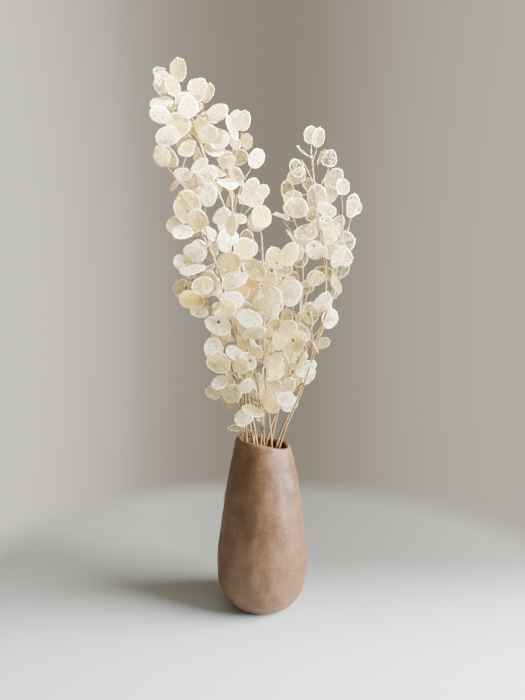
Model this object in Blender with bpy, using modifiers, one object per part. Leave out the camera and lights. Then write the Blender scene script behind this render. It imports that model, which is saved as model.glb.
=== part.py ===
"""Dried honesty (Lunaria) seed pod stems, standing in a hand-formed clay vase.

Every length is in millimetres and is turned into metres where a mesh is made.
The origin is the middle of the vase's foot, +Z is up and the front is at -Y.
"""

import math
import random
from collections import namedtuple

import bmesh
import bpy
from mathutils import Vector
from mathutils.bvhtree import BVHTree

MM = 0.001

# Vase: a turned clay body whose rim is cut a little aslant
VASE_OUTLINE = ((36, 0), (46, 5), (56, 16), (62.5, 31), (65.3, 54), (63.9, 85), (59.5, 122),
                (54, 162), (46.8, 203), (41.2, 228))
RIM_HEIGHT = 237.0
RIM_RADIUS = 38.5
RIM_SLANT = 6.5
WALL = 5.0
LIP_DROP = 1.5
FLOOR = 9.0
VASE_STEPS = 24

# Stems: each passes the mouth on a ring, and its foot stands further round and further in
MOUTH_HEIGHT = 232.0
OUTER_RING = 26.5
INNER_RING = 13.0
FOOT_TURN = math.radians(125)
FOOT_SHARE = 0.8
FOOT_CLEAR = 0.7
STEM_RADII = (1.9, 1.0)
STEM_STEPS = 3
STRAIGHT_SHARE = 0.8
TWIG_RADII = (1.1, 0.9)
TWIG_SHARES = (0, 0.28, 0.62, 1)
TWIG_ARCH = 0.45

# Pods: flat paddles on thin stalks, which alternate round a twig
POD_LENGTH = (27, 40)
POD_WIDTH_SHARE = (0.68, 0.87)
POD_CORNERS = (135, 82, 30)
POD_THICK = 0.7
STALK_LENGTH = (6, 15)
STALK_WIDTH = 0.8
END_POD_REACH = 22.0
POD_OPENING = (42, 95)
END_POD_OPENING = (0, 18)
POD_FACINGS = 3
END_POD_FACINGS = 6
POD_TURN_SPREAD = 0.5
SPREAD_GROWTH = 0.25
POD_TURN = math.radians(137.5)
STEM_BARE_SHARE = 0.74
TWIG_BARE_SHARE = 0.3

# Growing: each new thing keeps this far from what is there, and is drawn again where it would not
CLEARANCE = 0.45
TEST_SIDES = 8
TWIG_TRIES = 60
POD_SWAY = 0.3
MIDDLE_SWAY = 0.6
POD_TRIES = 160
COLLAR_HEIGHTS = (190, 244)
COLLAR_RADIUS = 39.5
FLAT_ANGLE = math.radians(4)
SEED = 11

# The bunch's outline seen from the front, at this distance and height: x and z where the sight lines meet
# the vase's middle plane. Two arms leave a gap between them.
VIEW_DISTANCE = 763.0
VIEW_HEIGHT = 416.0
BUNCH_OUTLINE = (
    (-33, 236), (-55, 245), (-52, 268), (-87, 292), (-87, 309), (-79, 322), (-91, 355), (-86, 398),
    (-100, 420), (-135, 436), (-140, 457), (-130, 480), (-136, 502), (-127, 520), (-144, 545), (-144, 572),
    (-128, 598), (-150, 613), (-167, 665), (-177, 690), (-177, 720), (-170, 735), (-174, 760), (-164, 768),
    (-163, 800), (-157, 809), (-112, 809), (-111, 778), (-75, 776), (-62, 748), (-44, 746), (-17, 725),
    (-10, 700), (-13, 677), (3, 665), (2, 627), (22, 597), (14, 576), (-4, 570), (11, 560), (14, 538),
    (27, 524), (35, 534), (30, 557), (12, 572), (13, 588), (25, 604), (30, 668), (58, 688), (58, 706),
    (90, 708), (92, 693), (109, 692), (108, 660), (123, 650), (125, 630), (138, 626), (150, 588),
    (140, 540), (125, 452), (110, 400), (107, 370), (96, 345), (96, 320), (82, 304), (56, 299), (42, 242))

# A stem passes the mouth on a ring at a bearing in degrees, then runs through its own points. Its end
# carries some pods, and so does each twig: (height on the stem, middle of its end pod, number of pods).
Stem = namedtuple("Stem", "name ring bearing via end_pods twigs")
STEMS = (
    Stem("stem_left_tall", OUTER_RING, 210,
         ((-29, -8, 507), (-49, -5, 566), (-82, 0, 646), (-108, 0, 723), (-137, 0, 760)), 10,
         ((690, (-84, -15, 743), 7), (668, (-147, -25, 706), 4), (625, (-111, -45, 687), 4),
          (645, (-69, 22, 727), 6), (715, (-169, 10, 750), 3), (735, (-121, -12, 778), 5))),
    Stem("stem_left_back", OUTER_RING, 165,
         ((-41, 25, 446), (-46, 35, 540), (-47, 35, 618), (-44, 22, 698)), 8,
         ((560, (-16, 15, 653), 4), (520, (6, 45, 617), 4), (600, (-82, 8, 677), 4),
          (500, (-22, -20, 601), 1), (580, (-55, 60, 672), 3), (640, (-27, -6, 712), 4))),
    Stem("stem_left_front", OUTER_RING, 255,
         ((-31, -45, 360), (-50, -52, 443), (-70, -55, 512), (-91, -52, 575), (-128, -42, 624)), 7,
         ((500, (-110, -70, 556), 5), (480, (-128, -35, 549), 4), (570, (-93, -25, 634), 4),
          (440, (-75, -85, 519), 5), (422, (-43, -82, 535), 4), (590, (-103, -30, 661), 2),
          (522, (-68, -75, 574), 4))),
    Stem("stem_left_low", INNER_RING, 190,
         ((-30, -1, 299), (-55, -8, 372), (-85, -15, 445), (-104, -15, 480)), 6,
         ((385, (-122, 15, 458), 4), (310, (-66, 5, 386), 4), (262, (-71, -15, 305), 4),
          (288, (-68, -42, 362), 4), (244, (-40, -42, 259), 1), (403, (-76, -45, 469), 4),
          (425, (-100, 10, 512), 4))),
    Stem("stem_front", OUTER_RING, 300,
         ((5, -45, 318), (2, -55, 402), (1, -55, 478), (-1, -45, 533)), 6,
         ((408, (32, -55, 496), 4), (370, (-38, -85, 471), 4), (428, (-24, -70, 507), 4),
          (350, (37, -65, 443), 4), (332, (10, -90, 442), 4))),
    Stem("stem_front_low", INNER_RING, 280,
         ((-3, -31, 295), (-14, -47, 360), (-27, -52, 430)), 6,
         ((274, (-55, -70, 355), 4), (294, (-6, -98, 374), 4), (258, (-17, -80, 320), 4),
          (242, (15, -78, 325), 4), (330, (-49, -75, 429), 4))),
    Stem("stem_back", OUTER_RING, 120,
         ((-16, 44, 305), (-20, 55, 416), (-26, 50, 517)), 7,
         ((350, (18, 62, 461), 4), (320, (-70, 45, 428), 4), (300, (-1, 85, 391), 4),
          (270, (-49, 60, 339), 3), (400, (-59, 70, 497), 3))),
    Stem("stem_back_low", INNER_RING, 100,
         ((7, 44, 304), (24, 76, 383), (36, 88, 449)), 5,
         ((290, (13, 105, 374), 4), (255, (-17, 70, 299), 3), (270, (60, 62, 348), 4),
          (330, (66, 60, 432), 3))),
    Stem("stem_right_tall", OUTER_RING, 30,
         ((50, 17, 294), (68, 20, 340), (86, 20, 401), (96, 12, 476), (89, 6, 521), (80, 2, 594),
          (72, 0, 668)), 6,
         ((605, (47, 6, 676), 1), (567, (109, 18, 656), 3), (545, (52, -4, 634), 4),
          (475, (76, -22, 577), 5), (625, (87, -12, 679), 3), (498, (77, 35, 579), 4))),
    Stem("stem_right_front", OUTER_RING, 345,
         ((57, -19, 315), (84, -30, 402), (100, -34, 465), (113, -34, 529), (114, -28, 587)), 6,
         ((430, (116, -15, 506), 4), (390, (94, -48, 458), 4), (340, (63, -55, 421), 4),
          (500, (133, 0, 582), 3), (470, (90, -60, 544), 4))),
    Stem("stem_right_back", OUTER_RING, 75,
         ((29, 38, 291), (52, 52, 384), (63, 52, 463), (59, 45, 542), (41, 35, 594)), 6,
         ((430, (51, 18, 513), 4), (390, (77, 75, 481), 3), (408, (32, 50, 508), 4),
          (500, (21, 40, 585), 2))),
    Stem("stem_right_low", INNER_RING, 10,
         ((29, 0, 297), (52, -8, 354), (75, -10, 389)), 5,
         ((268, (74, 2, 327), 3), (283, (41, -52, 374), 4), (250, (33, -32, 313), 4),
          (298, (30, -50, 405), 4), (314, (102, 10, 419), 4))),
)

POD_COLOUR = (0.90, 0.86, 0.72, 1.0)
CLAY_COLOUR = (0.47, 0.27, 0.17, 1.0)


def clear_scene():
    for old in list(bpy.data.objects):
        bpy.data.objects.remove(old)


def material(name, colour, roughness):
    made = bpy.data.materials.new(name)
    made.use_nodes = True
    shader = made.node_tree.nodes["Principled BSDF"]
    shader.inputs["Base Color"].default_value = colour
    shader.inputs["Roughness"].default_value = roughness
    return made


def new_object(name, mesh, collection, finish):
    made = bpy.data.objects.new(name, mesh)
    mesh.materials.clear()
    mesh.materials.append(finish)
    collection.objects.link(made)
    return made


def smoothstep(low, high, value):
    share = min(max((value - low) / (high - low), 0.0), 1.0)
    return share * share * (3 - 2 * share)


def hand_formed(x, y, z):
    """Where a point of the turned vase ends up: gentle dents in the wall and a slanting, wavy rim."""
    angle = math.atan2(y, x)
    wall = smoothstep(4, 45, z)
    swell = 1 + wall * (0.010 * math.sin(2 * angle + 0.6 + z / 90) + 0.007 * math.sin(3 * angle - z / 60))
    lean = -1.2 * wall * math.cos(math.pi * z / RIM_HEIGHT)
    rim = smoothstep(120, RIM_HEIGHT, z)
    rise = -RIM_SLANT * math.cos(angle) + 1.4 * math.sin(3 * angle + 0.5)
    return Vector((x * swell + lean, y * swell, z + rim * rise))


def vase_profile():
    """From the middle of the inner floor up the inside, over the lip and down the outside to the foot."""
    inside = [(0, FLOOR), (30, FLOOR)]
    inside += [(r - WALL - 0.8, max(z, FLOOR + 4)) for r, z in VASE_OUTLINE[2:]]
    lip = [(RIM_RADIUS - WALL, RIM_HEIGHT - LIP_DROP), (RIM_RADIUS - WALL / 2, RIM_HEIGHT),
           (RIM_RADIUS, RIM_HEIGHT - LIP_DROP)]
    return inside + lip + list(reversed(VASE_OUTLINE)) + [(0, 0)]


def make_vase(collection, finish):
    profile = bmesh.new()
    points = [profile.verts.new((r * MM, 0, z * MM)) for r, z in vase_profile()]
    for a, b in zip(points, points[1:]):
        profile.edges.new((a, b))
    mesh = bpy.data.meshes.new("vase")
    profile.to_mesh(mesh)
    profile.free()
    vase = new_object("vase", mesh, collection, finish)
    turning = vase.modifiers.new("turned on the wheel", "SCREW")
    turning.steps = turning.render_steps = VASE_STEPS
    turning.use_merge_vertices = True
    turning.merge_threshold = 0.00005
    turning.use_smooth_shade = True
    bpy.context.view_layer.update()
    turned = bpy.data.meshes.new_from_object(vase.evaluated_get(bpy.context.evaluated_depsgraph_get()))
    vase.modifiers.clear()
    for point in turned.vertices:
        point.co = hand_formed(*(point.co / MM)) * MM
    vase.data = turned
    turned.set_sharp_from_angle(angle=math.radians(40))


def smooth_path(points, steps):
    """Points along a curve through the given points, whose bends allow for how far apart these are."""
    points = [Vector(p) for p in points]
    slopes = [(b - a).normalized() for a, b in zip(points, points[1:])]
    lengths = [(b - a).length for a, b in zip(points, points[1:])]
    inner = [(before * far + after * near).normalized()
             for before, after, near, far in zip(slopes, slopes[1:], lengths, lengths[1:])]
    slopes = [slopes[0]] + inner + [slopes[-1]]
    path = [points[0]]
    for a, b, slope_a, slope_b, length in zip(points, points[1:], slopes, slopes[1:], lengths):
        for step in range(1, steps + 1):
            t = step / steps
            path.append(a + t * t * (3 - 2 * t) * (b - a) + t * (1 - t) * length * ((1 - t) * slope_a - t * slope_b))
    return path


def place_on(path, share):
    """The point and direction at this share of a path's length."""
    lengths = [(b - a).length for a, b in zip(path, path[1:])]
    left = share * sum(lengths)
    for a, b, length in zip(path, path[1:], lengths):
        if left <= length or b is path[-1]:
            return a.lerp(b, left / length), (b - a).normalized()
        left -= length


def tube(path, radii):
    """Points and faces of a tube that encloses a rod, for testing what the rod would touch."""
    points = []
    for i, at in enumerate(path):
        along = (path[min(i + 1, len(path) - 1)] - path[max(i - 1, 0)]).normalized()
        side = along.orthogonal().normalized()
        other = along.cross(side)
        radius = (radii[0] + (radii[1] - radii[0]) * i / (len(path) - 1)) / math.cos(math.pi / TEST_SIDES)
        for j in range(TEST_SIDES):
            turn = math.tau * j / TEST_SIDES
            points.append(at + radius * (math.cos(turn) * side + math.sin(turn) * other))
    n = TEST_SIDES
    faces = [(i * n + j, i * n + (j + 1) % n, (i + 1) * n + (j + 1) % n, (i + 1) * n + j)
             for i in range(len(path) - 1) for j in range(n)]
    return points, faces


def pod_outline(length, width, stalk, grow=0.0):
    """The paddle of a pod from its stalk's root round its blunt tip, in its own plane."""
    half = STALK_WIDTH / 2 + grow
    edge = [(-0.4, half), (stalk - grow, half)]
    for angle in POD_CORNERS:
        turn = math.radians(angle)
        edge.append((stalk + length / 2 + (length / 2 + grow) * math.cos(turn),
                     (width / 2 + grow) * math.sin(turn)))
    return edge + [(u, -v) for u, v in reversed(edge)]


class Pod:
    """A pod's place: the root of its stalk, the way it points, the way it faces, and its sizes."""

    def __init__(self, root, along, face, length, width, stalk):
        self.root = root
        self.along = along.normalized()
        self.face = (face - face.dot(self.along) * self.along).normalized()
        self.length = length
        self.width = width
        self.stalk = stalk

    def corners(self, outline, thick):
        across = self.face.cross(self.along)
        flat = [self.root + u * self.along + v * across for u, v in outline]
        return [p - self.face * thick / 2 for p in flat] + [p + self.face * thick / 2 for p in flat]

    def solid(self, grow=0.0, with_stalk=True):
        """Points and faces of the flat pod, swelled by some clearance when it is only tested."""
        outline = pod_outline(self.length, self.width, self.stalk, grow)
        if not with_stalk:
            outline = outline[1:-1]
        n = len(outline)
        sides = [((i + 1) % n, i, n + i, n + (i + 1) % n) for i in range(n)]
        caps = [tuple(range(n)), tuple(reversed(range(n, 2 * n)))]
        return self.corners(outline, POD_THICK + 2 * grow), sides + caps


class Space:
    """What is already in place, so that nothing new crosses it."""

    def __init__(self):
        self.taken = []

    def add(self, points, faces, owner):
        low = Vector(min(p[i] for p in points) for i in range(3))
        high = Vector(max(p[i] for p in points) for i in range(3))
        self.taken.append((low, high, BVHTree.FromPolygons(points, faces), owner))

    def is_free(self, points, faces, ignored=None):
        low = Vector(min(p[i] for p in points) for i in range(3))
        high = Vector(max(p[i] for p in points) for i in range(3))
        tree = None
        for other_low, other_high, other, owner in self.taken:
            if owner == ignored or any(low[i] > other_high[i] or high[i] < other_low[i] for i in range(3)):
                continue
            tree = tree or BVHTree.FromPolygons(points, faces)
            if tree.overlap(other):
                return False
        return True


def stem_path(ring, bearing, via):
    """From its foot straight across the vase, and from just below the mouth through its own points."""
    turn = math.radians(bearing)
    mouth = Vector((ring * math.cos(turn), ring * math.sin(turn), MOUTH_HEIGHT))
    foot = FOOT_SHARE * ring * Vector((math.cos(turn + FOOT_TURN), math.sin(turn + FOOT_TURN), 0))
    foot.z = FLOOR + FOOT_CLEAR
    return [foot] + smooth_path((foot.lerp(mouth, STRAIGHT_SHARE), mouth) + via, STEM_STEPS)


def twig_path(stem, height, end, rng, space, owner):
    """An arch from a stem to its end point, bent clear of what is in place, or none."""
    above = next(i for i, p in enumerate(stem) if p.z > height)
    a, b = stem[above - 1], stem[above]
    start = a.lerp(b, (height - a.z) / (b.z - a.z))
    for attempt in range(TWIG_TRIES):
        sway = Vector(rng.uniform(-1, 1) for _ in range(3)) * attempt
        pod = Vector(end) + POD_SWAY * sway
        middle = start + (b - a).normalized() * TWIG_ARCH * (pod - start).length + MIDDLE_SWAY * sway
        tip = pod + (middle - pod).normalized() * END_POD_REACH
        path = [start.lerp(middle, t).lerp(middle.lerp(tip, t), t) for t in TWIG_SHARES]
        body = [r + CLEARANCE for r in TWIG_RADII]
        if space.is_free(*tube(path[1:], body)) and space.is_free(*tube(path, body), ignored=owner):
            return path
    return None


def in_outline(point):
    """Whether a point lies in the bunch's outline as seen from the front."""
    scale = VIEW_DISTANCE / (VIEW_DISTANCE + point.y)
    x = point.x * scale
    z = VIEW_HEIGHT + (point.z - VIEW_HEIGHT) * scale
    crossings = 0
    for (x0, z0), (x1, z1) in zip(BUNCH_OUTLINE, BUNCH_OUTLINE[1:] + BUNCH_OUTLINE[:1]):
        if (z0 > z) != (z1 > z) and x < x0 + (z - z0) / (z1 - z0) * (x1 - x0):
            crossings += 1
    return crossings % 2 == 1


def any_direction(rng):
    return Vector(rng.gauss(0, 1) for _ in range(3)).normalized()


def draw_pod(rng, root, axis, turn, opening, facings):
    """A pod that opens out of a twig's axis. Of some drawn facings, it takes the one most to the front."""
    side = axis.orthogonal().normalized()
    out = math.cos(turn) * side + math.sin(turn) * axis.cross(side)
    along = math.cos(opening) * axis + math.sin(opening) * out
    drawn = [any_direction(rng) for _ in range(facings)]
    square = [(face - face.dot(along) * along).normalized() for face in drawn]
    length = rng.uniform(*POD_LENGTH)
    width = length * rng.uniform(*POD_WIDTH_SHARE)
    face = max(square, key=lambda each: abs(each.y))
    return Pod(root, along, face, length, width, rng.uniform(*STALK_LENGTH))


def grow_pods(rng, path, bare_share, count, space, owner):
    """Pods down a twig from its end, each in the first of its draws that touches nothing."""
    grown = []
    for k in range(count):
        root, axis = place_on(path, 1 - k / count * (1 - bare_share))
        at_end = k == 0
        for attempt in range(POD_TRIES):
            spread = POD_TURN_SPREAD * (1 + attempt * SPREAD_GROWTH)
            turn = k * POD_TURN + rng.uniform(-spread, spread)
            opening = math.radians(rng.uniform(*(END_POD_OPENING if at_end else POD_OPENING)))
            pod = draw_pod(rng, root, axis, turn, opening, END_POD_FACINGS if at_end else POD_FACINGS)
            blade = pod.solid(CLEARANCE, with_stalk=False)
            if (all(in_outline(corner) for corner in blade[0]) and space.is_free(*blade)
                    and space.is_free(*pod.solid(CLEARANCE), ignored=owner)):
                space.add(*pod.solid(), owner="pod")
                grown.append(pod)
                break
    return grown


def mouth_collar():
    """A ring round the vase's neck, which keeps twigs and pods off the rim."""
    n = 2 * TEST_SIDES
    turns = [math.tau * i / n for i in range(n)]
    points = [Vector((COLLAR_RADIUS * math.cos(t), COLLAR_RADIUS * math.sin(t), z))
              for z in COLLAR_HEIGHTS for t in turns]
    return points, [(i, (i + 1) % n, n + (i + 1) % n, n + i) for i in range(n)]


def lay_out():
    """Every stem's path, twig paths and pods. All stems are laid first, then all twigs, then the pods."""
    rng = random.Random(SEED)
    space = Space()
    space.add(*mouth_collar(), owner="vase")
    paths = {stem.name: stem_path(stem.ring, stem.bearing, stem.via) for stem in STEMS}
    for name, path in paths.items():
        space.add(*tube(path, STEM_RADII), owner=name)
    twigs = {stem.name: [] for stem in STEMS}
    for stem in STEMS:
        for height, end, count in stem.twigs:
            path = twig_path(paths[stem.name], height, end, rng, space, stem.name)
            if path:
                twigs[stem.name].append((path, count))
                space.add(*tube(path, TWIG_RADII), owner=(stem.name, len(twigs[stem.name])))
    pods = {}
    for stem in STEMS:
        pods[stem.name] = grow_pods(rng, paths[stem.name], STEM_BARE_SHARE, stem.end_pods, space, stem.name)
        for i, (path, count) in enumerate(twigs[stem.name], start=1):
            pods[stem.name] += grow_pods(rng, path, TWIG_BARE_SHARE, count, space, (stem.name, i))
    return paths, twigs, pods


def tube_object(name, path, radii, collection, finish):
    """A tapering four-sided rod as a curve, made a closed mesh."""
    curve = bpy.data.curves.new(name, "CURVE")
    curve.dimensions = "3D"
    curve.bevel_depth = MM
    curve.bevel_resolution = 0
    curve.use_fill_caps = True
    spline = curve.splines.new("POLY")
    spline.points.add(len(path) - 1)
    for i, (point, at) in enumerate(zip(spline.points, path)):
        point.co = (*(at * MM), 1)
        point.radius = radii[0] + (radii[1] - radii[0]) * i / (len(path) - 1)
    rod = bpy.data.objects.new(name, curve)
    collection.objects.link(rod)
    bpy.context.view_layer.update()
    mesh = bpy.data.meshes.new_from_object(rod.evaluated_get(bpy.context.evaluated_depsgraph_get()))
    bpy.data.objects.remove(rod)
    whole = bmesh.new()
    whole.from_mesh(mesh)
    bmesh.ops.remove_doubles(whole, verts=whole.verts, dist=0.00001)
    whole.to_mesh(mesh)
    whole.free()
    return new_object(name, mesh, collection, finish)


def pod_object(name, pod, collection, finish):
    points, faces = pod.solid()
    mesh = bpy.data.meshes.new(name)
    mesh.from_pydata([p * MM for p in points], [], faces)
    return new_object(name, mesh, collection, finish)


def merge_flat_faces(mesh):
    """Does away with the slivers that a union leaves in faces that are still flat."""
    faces = bmesh.new()
    faces.from_mesh(mesh)
    bmesh.ops.dissolve_limit(faces, angle_limit=FLAT_ANGLE, verts=faces.verts, edges=faces.edges)
    bmesh.ops.triangulate(faces, faces=faces.faces)
    faces.to_mesh(mesh)
    faces.free()


def make_stem(name, path, twigs, pods, collection, finish):
    """One whole stem: its twigs and pods joined to it by a union."""
    stem = tube_object(name, path, STEM_RADII, collection, finish)
    grown = bpy.data.collections.new(name + "_growth")
    bpy.context.scene.collection.children.link(grown)
    for i, (twig, _) in enumerate(twigs):
        tube_object(f"{name}_twig_{i}", twig, TWIG_RADII, grown, finish)
    for i, pod in enumerate(pods):
        pod_object(f"{name}_pod_{i}", pod, grown, finish)
    joining = stem.modifiers.new("grown together", "BOOLEAN")
    joining.operation = "UNION"
    joining.operand_type = "COLLECTION"
    joining.collection = grown
    joining.solver = "MANIFOLD"
    bpy.context.view_layer.update()
    whole = bpy.data.meshes.new_from_object(stem.evaluated_get(bpy.context.evaluated_depsgraph_get()))
    stem.modifiers.clear()
    stem.data = whole
    merge_flat_faces(whole)
    for piece in list(grown.objects):
        bpy.data.objects.remove(piece)
    bpy.data.collections.remove(grown)
    whole.shade_smooth()
    whole.set_sharp_from_angle(angle=math.radians(35))
    return stem


def main():
    clear_scene()
    collection = bpy.data.collections.new("honesty_in_vase")
    bpy.context.scene.collection.children.link(collection)
    make_vase(collection, material("clay", CLAY_COLOUR, 0.85))
    bleached = material("bleached_pods", POD_COLOUR, 0.5)
    paths, twigs, pods = lay_out()
    for name, path in paths.items():
        make_stem(name, path, twigs[name], pods[name], collection, bleached)


main()
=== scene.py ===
import math
import random
from collections import namedtuple

import bmesh
import bpy
from mathutils import Matrix, Vector, noise
from mathutils.bvhtree import BVHTree


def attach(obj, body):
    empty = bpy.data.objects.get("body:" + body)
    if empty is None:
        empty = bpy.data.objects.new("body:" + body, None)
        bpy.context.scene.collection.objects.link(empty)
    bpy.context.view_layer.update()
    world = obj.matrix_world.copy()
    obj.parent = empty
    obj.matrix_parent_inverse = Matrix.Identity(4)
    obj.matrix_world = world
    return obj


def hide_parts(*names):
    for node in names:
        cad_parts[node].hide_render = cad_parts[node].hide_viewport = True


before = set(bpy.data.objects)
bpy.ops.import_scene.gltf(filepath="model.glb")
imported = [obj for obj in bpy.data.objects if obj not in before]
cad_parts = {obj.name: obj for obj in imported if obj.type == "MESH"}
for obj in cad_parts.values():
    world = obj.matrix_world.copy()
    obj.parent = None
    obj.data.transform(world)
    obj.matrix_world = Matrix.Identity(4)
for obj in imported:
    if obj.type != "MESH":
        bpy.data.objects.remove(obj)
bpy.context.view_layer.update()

# Lengths are in millimetres, as in the part's source, and become metres where a mesh is made.
MM = 0.001

# Vase: a turned clay body whose rim is cut a little aslant. Its outline is (radius, height) from the foot up.
VASE_OUTLINE = ((36, 0), (46, 5), (56, 16), (62.5, 31), (65.3, 54), (63.9, 85), (59.5, 122),
                (54, 162), (46.8, 203), (41.2, 228))
RIM_HEIGHT = 237.0
RIM_RADIUS = 38.5
RIM_SLANT = 6.5
WALL = 5.0
WALL_EXTRA = 0.8
LIP_DROP = 1.5
FLOOR = 9.0
FLOOR_EDGE = 30
FLOOR_ROUNDING = 4

# Hand forming: swells of the wall as (share of the radius, waves round, phase, height in which they turn by a
# radian), how far the middle leans, and a wave of the rim as (height, waves round, phase)
SWELLS = ((0.010, 2, 0.6, 90), (0.007, 3, 0.0, -60))
LEAN = -1.2
RIM_WAVE = (1.4, 3, 0.5)
FOOT_BLEND = (4, 45)
RIM_BLEND = (120, RIM_HEIGHT)

# Stems: each passes the mouth on a ring, and its foot stands further round and further in
MOUTH_HEIGHT = 232.0
OUTER_RING = 26.5
INNER_RING = 13.0
FOOT_TURN = math.radians(125)
FOOT_SHARE = 0.8
FOOT_CLEAR = 0.7
STEM_RADII = (1.9, 1.0)
STEM_STEPS = 3
STRAIGHT_SHARE = 0.8
TWIG_RADII = (1.1, 0.9)
TWIG_SHARES = (0, 0.28, 0.62, 1)
TWIG_ARCH = 0.45

# Pods: flat paddles on thin stalks, which alternate round a twig
POD_LENGTH = (27, 40)
POD_WIDTH_SHARE = (0.68, 0.87)
POD_CORNERS = (135, 82, 30)
POD_THICK = 0.7
STALK_LENGTH = (6, 15)
STALK_WIDTH = 0.8
STALK_SINK = 0.4
END_POD_REACH = 22.0
POD_OPENING = (42, 95)
END_POD_OPENING = (0, 18)
POD_FACINGS = 3
END_POD_FACINGS = 6
POD_TURN_SPREAD = 0.5
SPREAD_GROWTH = 0.25
POD_TURN = math.radians(137.5)
STEM_BARE_SHARE = 0.74
TWIG_BARE_SHARE = 0.3

# Growing: each new thing keeps this far from what is there, and is drawn again where it would not
CLEARANCE = 0.45
TEST_SIDES = 8
TWIG_TRIES = 60
POD_SWAY = 0.3
MIDDLE_SWAY = 0.6
POD_TRIES = 160
COLLAR_HEIGHTS = (190, 244)
COLLAR_RADIUS = 39.5
SEED = 11

# The bunch's outline seen from the front, at this distance and height: x and z where the sight lines meet
# the vase's middle plane. Two arms leave a gap between them.
VIEW_DISTANCE = 763.0
VIEW_HEIGHT = 416.0
BUNCH_OUTLINE = (
    (-33, 236), (-55, 245), (-52, 268), (-87, 292), (-87, 309), (-79, 322), (-91, 355), (-86, 398),
    (-100, 420), (-135, 436), (-140, 457), (-130, 480), (-136, 502), (-127, 520), (-144, 545), (-144, 572),
    (-128, 598), (-150, 613), (-167, 665), (-177, 690), (-177, 720), (-170, 735), (-174, 760), (-164, 768),
    (-163, 800), (-157, 809), (-112, 809), (-111, 778), (-75, 776), (-62, 748), (-44, 746), (-17, 725),
    (-10, 700), (-13, 677), (3, 665), (2, 627), (22, 597), (14, 576), (-4, 570), (11, 560), (14, 538),
    (27, 524), (35, 534), (30, 557), (12, 572), (13, 588), (25, 604), (30, 668), (58, 688), (58, 706),
    (90, 708), (92, 693), (109, 692), (108, 660), (123, 650), (125, 630), (138, 626), (150, 588),
    (140, 540), (125, 452), (110, 400), (107, 370), (96, 345), (96, 320), (82, 304), (56, 299), (42, 242))

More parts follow.
